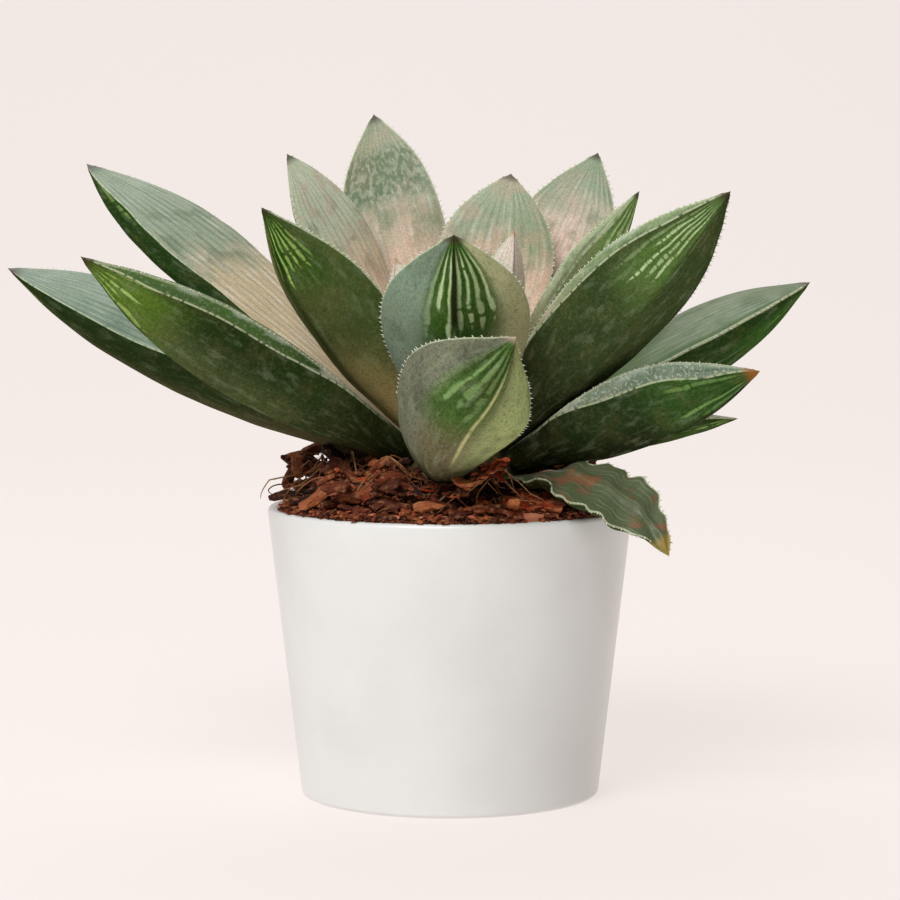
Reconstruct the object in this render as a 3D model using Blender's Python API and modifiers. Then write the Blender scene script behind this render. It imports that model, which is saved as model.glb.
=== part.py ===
"""Potted haworthia: a rosette of 26 separate leaves on a short stem, in soil under a husk mulch,
in a terracotta pot with a drain hole that stands inside a plain white tapered outer pot.

Blender 4.5 script. Metres, +Z up, origin at the centre of the white pot's base.
Azimuth 0 is +X (right of the front view), 90 is +Y (away) and 270 is towards the viewer.
"""
import math
import random

import bmesh
import bpy
import numpy as np
from mathutils import Matrix, Vector
from mathutils.bvhtree import BVHTree

COLLECTION = "potted_haworthia"

# Clearance between neighbours that rest on each other
GAP = 0.0003
MERGE = 0.00002

# White outer pot
POT_HEIGHT = 0.0486
POT_BASE_RADIUS = 0.0251
POT_RIM_RADIUS = 0.0306
POT_WALL = 0.0021
POT_FLOOR = 0.003
POT_EDGE = 0.0008

# Terracotta inner pot, which stands on the white pot's floor and a little proud of its rim
INNER_PROUD = 0.0012
INNER_WALL = 0.0021
INNER_FLOOR = 0.0026
INNER_PLAY = 0.0004
DRAIN_RADIUS = 0.0045
POT_SEGMENTS = 48

# Soil and the husk mulch on it: height above the table at the middle and at the pot's wall
SOIL_MIDDLE_Z = 0.0490
SOIL_WALL_Z = 0.0440
MULCH_MIDDLE_Z = 0.0560
MULCH_WALL_Z = 0.0497
MULCH_RINGS = 7
MULCH_RELIEF = 0.0007
MULCH_PITCH = 0.0070
MULCH_LEAST = 0.0010
LOOK_UP = 0.002
MULCH_SEGMENTS = 48
CHIP_COUNT = 74
CHIP_LENGTH = (0.0045, 0.0095)
CHIP_WIDTH = (0.0022, 0.0042)
CHIP_THICKNESS = (0.0011, 0.0021)
CHIP_TRIES = 4000
CHIP_TAPER = (0.45, 0.90)
CHIP_RAISE = 0.45
CHIP_REACH = (0.0125, 0.0262)
CHIP_TILT = 0.6
CHIP_SUNK = 0.0004
FIBRE_COUNT = 20
FIBRE_TRIES = 1500
FIBRE_RADIUS = 0.0004
FIBRE_START = (0.015, 0.022)
FIBRE_REACH = (0.006, 0.017)
FIBRE_ARCH = (0.0015, 0.0045)
FIBRE_CURL = 0.5
FIBRE_STEPS = 6
FIBRE_ROOT = 0.0013
FIBRE_HANG = 0.8
SEED = 14

# Stem: a ball-shaped crown that the leaves grow from, and a root that tapers into the soil
CROWN_RADIUS = 0.0110
CROWN_X = 0.0015
CROWN_Z = 0.0528
ROOT_TIP_RADIUS = 0.0040
ROOT_TIP_Z = 0.0300
STEM_SEGMENTS = 32

# Leaves: share of the full width or depth along the leaf, from its base (0) to its tip (1)
SLIM = ((0, 0.34), (0.15, 0.62), (0.35, 0.95), (0.45, 1.0), (0.6, 0.93), (0.75, 0.70), (0.87, 0.38),
        (0.95, 0.14), (1, 0.02))
BROAD = ((0, 0.26), (0.15, 0.46), (0.35, 0.80), (0.55, 1.0), (0.7, 0.98), (0.82, 0.78), (0.91, 0.46),
         (0.97, 0.17), (1, 0.02))
DEPTH = ((0, 0.36), (0.15, 0.56), (0.35, 0.88), (0.55, 1.0), (0.75, 0.85), (0.88, 0.5), (0.95, 0.22),
         (1, 0.03))
UPPER_SWELL = 0.15
AXIS_RAISE = 0.3
LEAF_SIDES = 8
STATION_PITCH = 0.0027
LEAST_STATIONS = 14
TOOTH = 0.0004
TOOTH_START = 0.3
LEAF_CLEAR = 0.0005
LEAF_PRESS = 0.0009


def leaf(name, azimuth, rise, length, width, depth, bend=0, swing=0, roll=0, base_roll=None,
         full=0.3, keel=0.6, lift=0, late=(1.3, 1.3), colour="green"):
    """One leaf: its heading at the crown in degrees, its size, and how it bends and turns.

    late is how far out it bends and swings: the larger, the straighter its base.
    """
    if base_roll is None:
        base_roll = 0.3 * roll
    return dict(name="leaf_" + name, azimuth=azimuth, rise=rise, length=length, width=width,
                depth=depth, bend=bend, swing=swing, roll=roll, base_roll=base_roll,
                full=full, keel=keel, lift=lift, late=late, colour=colour)


LEAVES = [
    leaf("low_1", 184, 24.0, 0.0718, 0.0190, 0.0096, bend=4, roll=-28, full=1.0, keel=0.7),
    leaf("low_2", 213.5, 27.2, 0.0694, 0.0186, 0.0098, bend=4, roll=8, full=0.5, keel=0.7),
    leaf("low_3", 262, 13, 0.0430, 0.0212, 0.0095, bend=36, swing=84, late=(0.7, 1.8), roll=-42,
         base_roll=0, full=1.0),
    leaf("low_4", 331, 20.8, 0.0472, 0.0190, 0.0090, bend=-2, roll=-25, full=0.5),
    leaf("low_5", 8, 29.4, 0.0574, 0.0195, 0.0096, bend=-2, roll=10, full=0.8),
    leaf("low_6", 30, 13, 0.0464, 0.0110, 0.0045, bend=-14),
    leaf("mid_1", 155.4, 36.0, 0.0780, 0.0222, 0.0076, bend=1, roll=-15, full=1.0),
    leaf("mid_2", 221, 47.2, 0.0510, 0.0190, 0.0080, bend=2, roll=14, full=0.2),
    leaf("mid_3", 268.6, 41, 0.0442, 0.0235, 0.0080, bend=26, full=1.0),
    leaf("mid_4", 317, 39.6, 0.0642, 0.0185, 0.0080, bend=2, roll=-38, base_roll=-20),
    leaf("top_1", 183, 62, 0.0505, 0.0205, 0.0048, bend=1, swing=3, roll=-34, base_roll=-22, full=1.0,
         colour="pale"),
    leaf("top_2", 125, 64, 0.0565, 0.0175, 0.0044, bend=3, swing=-11, roll=-42, base_roll=-6, full=0.9,
         colour="pale"),
    leaf("top_3", 56, 74, 0.0420, 0.0196, 0.0042, bend=1, swing=-13, roll=42, base_roll=4, full=1.0,
         colour="pale"),
    leaf("top_4", 45, 56.6, 0.0534, 0.0195, 0.0060, bend=4, roll=32, base_roll=8, full=0.6,
         colour="pale"),
    leaf("top_5", 348, 57.9, 0.0460, 0.0140, 0.0060, roll=-20, full=0.2),
    leaf("back_1", 60, 24, 0.0560, 0.0170, 0.0090, bend=6),
    leaf("back_2", 95, 22, 0.0600, 0.0180, 0.0090, bend=6),
    leaf("back_3", 128.5, 23.6, 0.0580, 0.0170, 0.0090, bend=6),
    leaf("back_4", 77, 41, 0.0480, 0.0145, 0.0080, bend=4),
    leaf("back_5", 117, 42, 0.0400, 0.0138, 0.0075, bend=4),
    leaf("back_6", 36.5, 41, 0.0440, 0.0138, 0.0063, bend=4),
    leaf("heart_1", 299, 64, 0.0350, 0.0110, 0.0045, bend=8, colour="cream"),
    leaf("heart_2", 232, 64, 0.0300, 0.0120, 0.0050, bend=6, colour="cream"),
    leaf("heart_3", 190, 79, 0.0260, 0.0095, 0.0038, colour="cream"),
    leaf("heart_4", 330, 86, 0.0240, 0.0070, 0.0032, colour="cream"),
    leaf("old", 315, 8, 0.0372, 0.0150, 0.0030, bend=-56, swing=8, roll=24, base_roll=0, full=0.4,
         keel=0.3, lift=-0.0008, colour="old"),
]

COLOURS = {
    "white": (0.80, 0.79, 0.76),
    "terracotta": (0.62, 0.21, 0.11),
    "soil": (0.035, 0.018, 0.010),
    "husk": (0.17, 0.055, 0.025),
    "stem": (0.30, 0.26, 0.14),
    "green": (0.055, 0.10, 0.035),
    "pale": (0.16, 0.22, 0.13),
    "cream": (0.42, 0.38, 0.24),
    "old": (0.14, 0.17, 0.09),
}
ROUGHNESS = {"white": 0.35, "terracotta": 0.85, "soil": 1.0, "husk": 0.9, "stem": 0.6}
LEAF_ROUGHNESS = 0.4


def clear_scene():
    for item in list(bpy.data.objects):
        bpy.data.objects.remove(item, do_unlink=True)


def new_collection(name):
    collection = bpy.data.collections.new(name)
    bpy.context.scene.collection.children.link(collection)
    return collection


def material(name, colour):
    made = bpy.data.materials.new(name)
    made.use_nodes = True
    surface = made.node_tree.nodes["Principled BSDF"]
    surface.inputs["Base Color"].default_value = (*COLOURS[colour], 1)
    surface.inputs["Roughness"].default_value = ROUGHNESS.get(colour, LEAF_ROUGHNESS)
    surface.inputs["Metallic"].default_value = 0
    return made


def add_object(name, mesh, collection, colour):
    made = bpy.data.objects.new(name, mesh)
    collection.objects.link(made)
    mesh.materials.clear()
    mesh.materials.append(material(name, colour))
    return made


def shade_round(mesh, sharp_degrees=40):
    mesh.shade_smooth()
    mesh.set_sharp_from_angle(angle=math.radians(sharp_degrees))


def turned(name, profile, steps, collection, colour, on_axis=True):
    """A solid of revolution: the profile in the XZ plane, down its outer side, turned about Z."""
    mesh = bpy.data.meshes.new(name)
    edges = [(i, i + 1) for i in range(len(profile) - 1)]
    if not on_axis:
        edges.append((len(profile) - 1, 0))
    mesh.from_pydata([(r, 0, z) for r, z in profile], edges, [])
    made = add_object(name, mesh, collection, colour)
    screw = made.modifiers.new("turn", "SCREW")
    screw.axis = "Z"
    screw.steps = steps
    screw.render_steps = steps
    screw.use_merge_vertices = True
    screw.merge_threshold = MERGE
    return made


def baked(made):
    """The same object with its modifiers applied."""
    depsgraph = bpy.context.evaluated_depsgraph_get()
    mesh = bpy.data.meshes.new_from_object(made.evaluated_get(depsgraph))
    made.modifiers.clear()
    made.data = mesh
    return made


def arc(centre, radius, start, end, steps):
    """Points (r, z) on a round edge, from the start angle to the end angle in degrees."""
    angles = [math.radians(start + (end - start) * i / steps) for i in range(steps + 1)]
    return [(centre[0] + radius * math.cos(a), centre[1] + radius * math.sin(a)) for a in angles]


def pot_inner_radius(z):
    """Inside radius of the white pot at a height."""
    return POT_BASE_RADIUS + (POT_RIM_RADIUS - POT_BASE_RADIUS) * z / POT_HEIGHT - POT_WALL


def white_pot(collection):
    edge = POT_EDGE
    rim = (POT_RIM_RADIUS - edge, POT_HEIGHT - edge)
    foot = (POT_BASE_RADIUS - edge, edge)
    profile = [(0, POT_FLOOR), (pot_inner_radius(POT_FLOOR), POT_FLOOR)]
    lip = (pot_inner_radius(POT_HEIGHT) + edge, POT_HEIGHT - edge)
    profile += arc(lip, edge, 180, 90, 2)
    profile += arc(rim, edge, 90, 0, 2)
    profile += arc(foot, edge, 0, -90, 2)
    profile += [(0, 0)]
    made = baked(turned("white_pot", profile, POT_SEGMENTS, collection, "white"))
    shade_round(made.data)
    return made


def inner_outer_radius(z):
    """Outside radius of the inner pot at a height."""
    return pot_inner_radius(z) - INNER_PLAY


def inner_pot(collection):
    base = POT_FLOOR + GAP
    top = POT_HEIGHT + INNER_PROUD
    floor = base + INNER_FLOOR
    edge = POT_EDGE
    profile = [(DRAIN_RADIUS, floor), (inner_outer_radius(floor) - INNER_WALL, floor)]
    rim_out = inner_outer_radius(top)
    profile += arc((rim_out - INNER_WALL + edge, top - edge), edge, 180, 90, 2)
    profile += arc((rim_out - edge, top - edge), edge, 90, 0, 2)
    profile += [(inner_outer_radius(base), base), (DRAIN_RADIUS, base)]
    made = baked(turned("inner_pot", profile, POT_SEGMENTS, collection, "terracotta", on_axis=False))
    shade_round(made.data)
    return made


def bed_radius(z):
    """Outside radius of what fills the inner pot, at a height."""
    return inner_outer_radius(min(z, POT_HEIGHT)) - INNER_WALL - GAP


def stem_radius(z):
    """Radius of the stem at a height: a ball above, a taper below the ball's middle."""
    if z >= CROWN_Z:
        return math.sqrt(max(0, CROWN_RADIUS ** 2 - (z - CROWN_Z) ** 2))
    share = (CROWN_Z - z) / (CROWN_Z - ROOT_TIP_Z)
    return CROWN_RADIUS + (ROOT_TIP_RADIUS - CROWN_RADIUS) * share


def stem(collection):
    ball = arc((0, CROWN_Z), CROWN_RADIUS, 90, 0, 7)
    ball[0] = (0, CROWN_Z + CROWN_RADIUS)
    profile = ball + [(ROOT_TIP_RADIUS, ROOT_TIP_Z), (0, ROOT_TIP_Z)]
    made = baked(turned("stem", profile, STEM_SEGMENTS, collection, "stem"))
    made.data.transform(Matrix.Translation((CROWN_X, 0, 0)))
    shade_round(made.data)
    return made


def bed_height(radius, middle, wall):
    """Height of the soil or mulch at a distance from the pot's axis: a low rounded mound."""
    share = min(1, max(0, (radius - CROWN_RADIUS) / (bed_radius(wall) - CROWN_RADIUS)))
    return middle + (wall - middle) * share ** 1.4


def bed_profile(middle, wall, rings):
    """Top of a bed from its hole's edge to the wall."""
    inside = CROWN_RADIUS + abs(CROWN_X) + GAP
    outside = bed_radius(wall)
    radii = [inside + (outside - inside) * i / rings for i in range(rings + 1)]
    return [(r, bed_height(r, middle, wall)) for r in radii]


def soil(collection):
    """Fills the inner pot up to the mulch. The root stands in a plain tapered hole."""
    floor = POT_FLOOR + GAP + INNER_FLOOR + GAP
    hole_floor = ROOT_TIP_Z - GAP
    offset = abs(CROWN_X) + 2 * GAP
    hole_top = bed_height(0, SOIL_MIDDLE_Z, SOIL_WALL_Z)
    profile = [(0, hole_floor), (stem_radius(ROOT_TIP_Z) + offset, hole_floor)]
    profile += [(stem_radius(hole_top) + offset, hole_top)]
    profile += bed_profile(SOIL_MIDDLE_Z, SOIL_WALL_Z, 4)[1:]
    profile += [(bed_radius(floor), floor), (0, floor)]
    return baked(turned("soil", profile, POT_SEGMENTS, collection, "soil"))


def direction(azimuth, rise):
    a = math.radians(azimuth)
    r = math.radians(rise)
    return Vector((math.cos(a) * math.cos(r), math.sin(a) * math.cos(r), math.sin(r)))


def smooth(points, place):
    """Value at a place on a smooth curve through (place, value) points."""
    x = [p[0] for p in points]
    y = [p[1] for p in points]
    slope = np.gradient(y, x)
    i = min(len(x) - 2, max(0, int(np.searchsorted(x, place, side="right")) - 1))
    h = x[i + 1] - x[i]
    t = (place - x[i]) / h
    rise = (2 * t ** 3 - 3 * t ** 2 + 1) * y[i] + (3 * t ** 2 - 2 * t ** 3) * y[i + 1]
    return rise + ((t ** 3 - 2 * t ** 2 + t) * slope[i] + (t ** 3 - t ** 2) * slope[i + 1]) * h


def leaf_stations(shape, count):
    """Along the leaf: place, point, tangent, and the sideways and upper-face directions."""
    place = [i / (count - 1) for i in range(count)]
    step = shape["length"] / (count - 1)
    crown = Vector((CROWN_X, 0, CROWN_Z + shape["lift"]))
    point = crown + direction(shape["azimuth"], shape["rise"]) * (CROWN_RADIUS + GAP)
    last = None
    stations = []
    for s in place:
        bend_late, swing_late = shape["late"]
        azimuth = shape["azimuth"] + shape["swing"] * s ** swing_late
        tangent = direction(azimuth, shape["rise"] + shape["bend"] * s ** bend_late)
        if last is not None:
            point = point + (tangent + last) / 2 * step
        last = tangent
        side = direction(azimuth + 90, 0)
        side = (side - tangent * side.dot(tangent)).normalized()
        upper = tangent.cross(side)
        turn = shape["base_roll"] + (shape["roll"] - shape["base_roll"]) * min(1, 1.5 * s)
        c = math.cos(math.radians(turn))
        d = math.sin(math.radians(turn))
        stations.append((s, point.copy(), tangent, side * c + upper * d, upper * c - side * d))
    return stations


def leaf_section(keel):
    """One section as (across, up) shares: a nearly flat upper face, then the keeled lower face."""
    half = LEAF_SIDES // 2
    section = []
    for j in range(LEAF_SIDES):
        t = math.pi * (j % half) / half
        if j < half:
            section.append((math.cos(t), UPPER_SWELL * math.sin(t)))
        else:
            x = -math.cos(t)
            section.append((x, -((1 - keel) * math.sin(t) ** 0.85 + keel * (1 - abs(x)))))
    return section


def leaf_mesh(shape):
    """A closed loft along the leaf, with a tooth on both margins at every other station."""
    count = max(LEAST_STATIONS, round(shape["length"] / STATION_PITCH))
    vertices = []
    for i, (s, point, tangent, side, upper) in enumerate(leaf_stations(shape, count)):
        share = smooth(SLIM, s) * (1 - shape["full"]) + smooth(BROAD, s) * shape["full"]
        half_width = shape["width"] / 2 * share
        if i % 2 and TOOTH_START < s < 1:
            half_width += TOOTH
        depth = shape["depth"] * smooth(DEPTH, s)
        keel = shape["keel"] * min(1, max(0, (s - 0.1) / 0.4))
        centre = point + upper * AXIS_RAISE * depth
        for x, y in leaf_section(keel):
            vertices.append(centre + side * x * half_width + upper * y * depth)
    faces = []
    n = LEAF_SIDES
    for i in range(count - 1):
        for j in range(n):
            a = i * n + j
            b = i * n + (j + 1) % n
            faces += [(a, b + n, b), (a, a + n, b + n)]
    faces.append(tuple(range(n)))
    faces.append(tuple(reversed(range((count - 1) * n, count * n))))
    mesh = bpy.data.meshes.new(shape["name"])
    mesh.from_pydata([tuple(v) for v in vertices], [], faces)
    mesh.validate()
    return mesh


def face_outwards(mesh):
    work = bmesh.new()
    work.from_mesh(mesh)
    if work.calc_volume(signed=True) < 0:
        bmesh.ops.reverse_faces(work, faces=work.faces)
    work.to_mesh(mesh)
    work.free()


def leaves(collection):
    made = []
    for shape in LEAVES:
        mesh = leaf_mesh(shape)
        face_outwards(mesh)
        mesh.shade_smooth()
        made.append(add_object(shape["name"], mesh, collection, shape["colour"]))
    return made


def tree_of(objects):
    """One search tree over the surfaces of several objects."""
    vertices = []
    polygons = []
    for item in objects:
        start = len(vertices)
        vertices += [v.co.copy() for v in item.data.vertices]
        polygons += [[start + i for i in p.vertices] for p in item.data.polygons]
    return BVHTree.FromPolygons(vertices, polygons)


def under_leaf(tree, x, y, top):
    """The height of the lowest leaf above a place, or None."""
    hit = tree.ray_cast(Vector((x, y, SOIL_WALL_Z)), Vector((0, 0, 1)), top - SOIL_WALL_Z)
    return hit[0].z if hit[0] is not None else None


def relief(x, y):
    """Low uneven relief of the mulch, the same each run."""
    u = 2 * math.pi * x / MULCH_PITCH
    v = 2 * math.pi * y / MULCH_PITCH
    return MULCH_RELIEF * math.sin(u + 1.3 * math.sin(0.8 * v)) * math.sin(1.2 * v + math.sin(0.6 * u))


def mulch_top(tree, x, y):
    """Height of the mulch: the mound with its relief, pressed down below any leaf over it."""
    radius = math.hypot(x, y)
    height = bed_height(radius, MULCH_MIDDLE_Z, MULCH_WALL_Z) + relief(x, y)
    reach = LEAF_CLEAR + MULCH_RELIEF
    for dx, dy in ((0, 0), (reach, 0), (-reach, 0), (0, reach), (0, -reach)):
        limit = under_leaf(tree, x + dx, y + dy, height + LOOK_UP)
        if limit is not None:
            height = min(height, limit - LEAF_PRESS)
    least = bed_height(radius, SOIL_MIDDLE_Z, SOIL_WALL_Z) + GAP + MULCH_LEAST
    return max(height, least)


def mulch_base(tree, collection):
    """The mulch's body: a turned ring on the soil whose top follows mulch_top."""
    top = bed_profile(MULCH_MIDDLE_Z, MULCH_WALL_Z, MULCH_RINGS)
    bottom = bed_profile(SOIL_MIDDLE_Z + GAP, SOIL_WALL_Z + GAP, 3)
    profile = top + list(reversed(bottom))
    made = turned("mulch", profile, MULCH_SEGMENTS, collection, "husk", on_axis=False)
    baked(made)
    for vertex in made.data.vertices:
        x, y, z = vertex.co
        middle = bed_height(math.hypot(x, y), SOIL_MIDDLE_Z, SOIL_WALL_Z) + GAP + MULCH_LEAST
        if z > middle:
            vertex.co.z = mulch_top(tree, x, y)
    face_outwards(made.data)
    return made


def is_clear(tree, point, margin):
    """True where a point of the mulch stays off the leaves, the stem and both rims."""
    near = tree.find_nearest(point)
    if near[0] is not None:
        away = point - near[0]
        if away.length < margin or away.dot(near[1]) < 0:
            return False
    if math.hypot(point.x - CROWN_X, point.y) < stem_radius(point.z) + margin:
        return False
    radius = math.hypot(point.x, point.y)
    rim_inside = bed_radius(POT_HEIGHT) - margin / 2
    over_rims = point.z > POT_HEIGHT + INNER_PROUD + margin
    return radius < rim_inside or over_rims or radius > POT_RIM_RADIUS + margin


def keep_largest(mesh):
    """Drops every loose scrap and fills every sealed hollow, so that the mesh is one body."""
    work = bmesh.new()
    work.from_mesh(mesh)
    left = set(work.faces)
    shells = []
    while left:
        front = [left.pop()]
        shell = set(front)
        while front:
            near = {f for face in front for e in face.edges for f in e.link_faces} & left
            left -= near
            shell |= near
            front = list(near)
        shells.append(shell)
    shells.sort(key=len)
    bmesh.ops.delete(work, geom=[f for shell in shells[:-1] for f in shell], context="FACES")
    work.to_mesh(mesh)
    work.free()


def chip(rng, tree, number):
    """One husk chip: a tapered, slightly wedge-shaped flake, half sunk in the mulch, or None."""
    turn = rng.uniform(0, 2 * math.pi)
    radius = rng.uniform(*CHIP_REACH)
    x = radius * math.cos(turn)
    y = radius * math.sin(turn)
    size = Vector([rng.uniform(*span) for span in (CHIP_LENGTH, CHIP_WIDTH, CHIP_THICKNESS)])
    place = Vector((x, y, mulch_top(tree, x, y) + CHIP_RAISE * size.z))
    turned_by = Matrix.Rotation(rng.uniform(0, math.pi), 4, "Z")
    tilted_by = Matrix.Rotation(rng.uniform(-CHIP_TILT, CHIP_TILT), 4, "Y")
    leant_by = Matrix.Rotation(rng.uniform(-CHIP_TILT, CHIP_TILT), 4, "X")
    taper = rng.uniform(*CHIP_TAPER)
    work = bmesh.new()
    bmesh.ops.create_cube(work, size=1)
    for vertex in work.verts:
        end = taper if vertex.co.x > 0 else 1
        vertex.co = Vector((vertex.co.x * size.x, vertex.co.y * size.y * end,
                            vertex.co.z * size.z * end))
    work.transform(Matrix.Translation(place) @ turned_by @ tilted_by @ leant_by)
    corners = [v.co.copy() for v in work.verts]
    tests = [a.lerp(b, share) for a in corners for b in corners for share in (0, 0.25, 0.5)]
    fits = all(is_clear(tree, p, LEAF_CLEAR) for p in tests)
    sunk = min(c.z - mulch_top(tree, c.x, c.y) for c in corners) < -CHIP_SUNK
    if not fits or not sunk:
        work.free()
        return None
    mesh = bpy.data.meshes.new(f"chip_{number}")
    work.to_mesh(mesh)
    work.free()
    return mesh


def fibre_points(rng, tree):
    """A coir fibre: out of the mulch, over in a low arch, and for some over the rim and down."""
    turn = rng.uniform(0, 2 * math.pi)
    start = rng.uniform(*FIBRE_START)
    reach = rng.uniform(*FIBRE_REACH)
    height = rng.uniform(*FIBRE_ARCH)
    curl = rng.uniform(-FIBRE_CURL, FIBRE_CURL)
    ground = mulch_top(tree, start * math.cos(turn), start * math.sin(turn))
    points = []
    for i in range(FIBRE_STEPS + 1):
        s = i / FIBRE_STEPS
        radius = start + reach * s
        angle = turn + curl * s * s
        arch = height * math.sin(math.pi * min(1, 0.85 * s))
        sunk = FIBRE_ROOT * (1 - min(1, 3 * s))
        hang = FIBRE_HANG * reach * max(0, s - 0.45) ** 1.5
        z = ground + arch - sunk - hang
        points.append(Vector((radius * math.cos(angle), radius * math.sin(angle), z)))
    return points


def fibre(rng, tree, number, collection):
    points = fibre_points(rng, tree)
    for i, point in enumerate(points[1:], 1):
        inside = math.hypot(point.x, point.y) < bed_radius(POT_HEIGHT)
        middle = (point + points[i - 1]) / 2
        if not all(is_clear(tree, p, LEAF_CLEAR + FIBRE_RADIUS) for p in (point, middle)):
            return None
        if i > 1 and inside and point.z < mulch_top(tree, point.x, point.y) - FIBRE_RADIUS:
            return None
    curve = bpy.data.curves.new(f"fibre_{number}", "CURVE")
    curve.dimensions = "3D"
    curve.bevel_depth = FIBRE_RADIUS
    curve.bevel_resolution = 0
    curve.use_fill_caps = True
    spline = curve.splines.new("POLY")
    spline.points.add(len(points) - 1)
    for target, point in zip(spline.points, points):
        target.co = (*point, 1)
    made = bpy.data.objects.new(curve.name, curve)
    collection.objects.link(made)
    bpy.context.view_layer.update()
    depsgraph = bpy.context.evaluated_depsgraph_get()
    mesh = bpy.data.meshes.new_from_object(made.evaluated_get(depsgraph))
    bpy.data.objects.remove(made)
    work = bmesh.new()
    work.from_mesh(mesh)
    bmesh.ops.remove_doubles(work, verts=work.verts, dist=MERGE)
    work.to_mesh(mesh)
    work.free()
    return mesh


def mulch(tree, collection, cutters):
    """The mulch's ring with its chips and fibres joined to it as one body."""
    rng = random.Random(SEED)
    made = mulch_base(tree, collection)
    meshes = []
    tries = 0
    while len(meshes) < CHIP_COUNT and tries < CHIP_TRIES:
        tries += 1
        mesh = chip(rng, tree, tries)
        if mesh:
            meshes.append(mesh)
    fibres = 0
    tries = 0
    while fibres < FIBRE_COUNT and tries < FIBRE_TRIES:
        tries += 1
        mesh = fibre(rng, tree, tries, cutters)
        if mesh:
            meshes.append(mesh)
            fibres += 1
    for mesh in meshes:
        face_outwards(mesh)
        cutters.objects.link(bpy.data.objects.new(mesh.name, mesh))
    join = made.modifiers.new("join", "BOOLEAN")
    join.operation = "UNION"
    join.operand_type = "COLLECTION"
    join.collection = cutters
    join.solver = "EXACT"
    bpy.context.view_layer.update()
    baked(made)
    keep_largest(made.data)
    made.data.materials.clear()
    made.data.materials.append(material("mulch", "husk"))
    for item in list(cutters.objects):
        bpy.data.objects.remove(item, do_unlink=True)
    return made


def main():
    clear_scene()
    part = new_collection(COLLECTION)
    cutters = new_collection("joined_pieces")
    white_pot(part)
    inner_pot(part)
    soil(part)
    stem(part)
    tree = tree_of(leaves(part))
    mulch(tree, part, cutters)
    bpy.data.collections.remove(cutters)


main()
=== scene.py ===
"""Looks of the potted haworthia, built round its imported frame.

Metres, +Z up, origin at the centre of the white pot's base. Azimuth 0 is +X, the right of the
front view, 90 is +Y, away from the camera, and 270 is towards it.
"""
import math
import random
from types import SimpleNamespace

import bmesh
import bpy
import numpy as np
from mathutils import Matrix, Vector, noise
from mathutils.bvhtree import BVHTree


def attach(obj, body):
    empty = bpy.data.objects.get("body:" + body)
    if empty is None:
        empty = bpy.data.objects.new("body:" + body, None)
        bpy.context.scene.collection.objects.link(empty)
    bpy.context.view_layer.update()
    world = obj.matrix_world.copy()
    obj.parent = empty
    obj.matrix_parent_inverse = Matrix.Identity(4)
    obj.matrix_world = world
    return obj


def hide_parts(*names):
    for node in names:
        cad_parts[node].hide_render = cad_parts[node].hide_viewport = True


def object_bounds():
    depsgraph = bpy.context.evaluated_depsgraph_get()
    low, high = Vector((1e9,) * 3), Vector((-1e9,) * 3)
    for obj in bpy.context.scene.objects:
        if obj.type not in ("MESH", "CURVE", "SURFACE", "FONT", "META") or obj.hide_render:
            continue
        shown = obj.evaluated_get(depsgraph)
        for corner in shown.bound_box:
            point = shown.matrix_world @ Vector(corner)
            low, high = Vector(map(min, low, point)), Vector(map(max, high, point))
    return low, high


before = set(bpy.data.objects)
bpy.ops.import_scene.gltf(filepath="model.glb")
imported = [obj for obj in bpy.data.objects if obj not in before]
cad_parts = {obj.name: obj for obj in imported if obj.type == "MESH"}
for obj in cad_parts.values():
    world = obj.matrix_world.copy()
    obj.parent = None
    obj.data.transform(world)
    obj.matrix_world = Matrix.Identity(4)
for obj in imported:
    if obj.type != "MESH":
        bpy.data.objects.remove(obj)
cad_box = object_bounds()

# Shared with the CAD source
GAP = 0.0003
POT_HEIGHT = 0.0486
POT_BASE_RADIUS = 0.0251
POT_RIM_RADIUS = 0.0306
POT_WALL = 0.0021
POT_FLOOR = 0.003
POT_EDGE = 0.0008
INNER_PROUD = 0.0012
INNER_WALL = 0.0021
INNER_FLOOR = 0.0026
INNER_PLAY = 0.0004
DRAIN_RADIUS = 0.0045
CROWN_RADIUS = 0.011
CROWN_X = 0.0015
CROWN_Z = 0.0528
SLIM = ((0, 0.34), (0.15, 0.62), (0.35, 0.95), (0.45, 1.0), (0.6, 0.93), (0.75, 0.7), (0.87, 0.38),
        (0.95, 0.14), (1, 0.02))
BROAD = ((0, 0.26), (0.15, 0.46), (0.35, 0.8), (0.55, 1.0), (0.7, 0.98), (0.82, 0.78), (0.91, 0.46),
         (0.97, 0.17), (1, 0.02))
DEPTH = ((0, 0.36), (0.15, 0.56), (0.35, 0.88), (0.55, 1.0), (0.75, 0.85), (0.88, 0.5), (0.95, 0.22),
         (1, 0.03))
UPPER_SWELL = 0.15
AXIS_RAISE = 0.3

# Fine leaf surface
STATION_PITCH = 0.00045
UPPER_POINTS = 30
LOWER_POINTS = 60
TIP_SHARE = 0.02
UNDULATION = 0.0001
UNDULATION_PITCH = 0.005
UPPER_LINES = 12
MARGIN_ROUND = 1.05
GROOVE = 0.0001
GROOVE_WIDTH = 0.22

# Teeth on the margins
TOOTH_PITCH = 0.0008
TOOTH_LENGTH = 0.00055
TOOTH_ROOT = 0.00014
TOOTH_SPAN = (0.22, 0.975)
TOOTH_SIDES = 5

SEED = 5


def rgb(red, green, blue):
    """A colour from the usual 0 to 255 numbers, as a shader wants it."""
    linear = [(c / 255 / 12.92) if c <= 10 else ((c / 255 + 0.055) / 1.055) ** 2.4
              for c in (red, green, blue)]
    return (*linear, 1)


USUAL = dict(bend=0, swing=0, roll=0, full=0.3, keel=0.6, lift=0, late=(1.3, 1.3))


def leaf(name, azimuth, rise, length, width, depth, **changes):
    """One leaf as in the CAD source: its heading at the crown, its size, and how it bends."""
    values = dict(USUAL, name=name, azimuth=azimuth, rise=rise, length=length, width=width,
                  depth=depth, **changes)
    values.setdefault("base_roll", 0.3 * values["roll"])
    return SimpleNamespace(**values)


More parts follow.
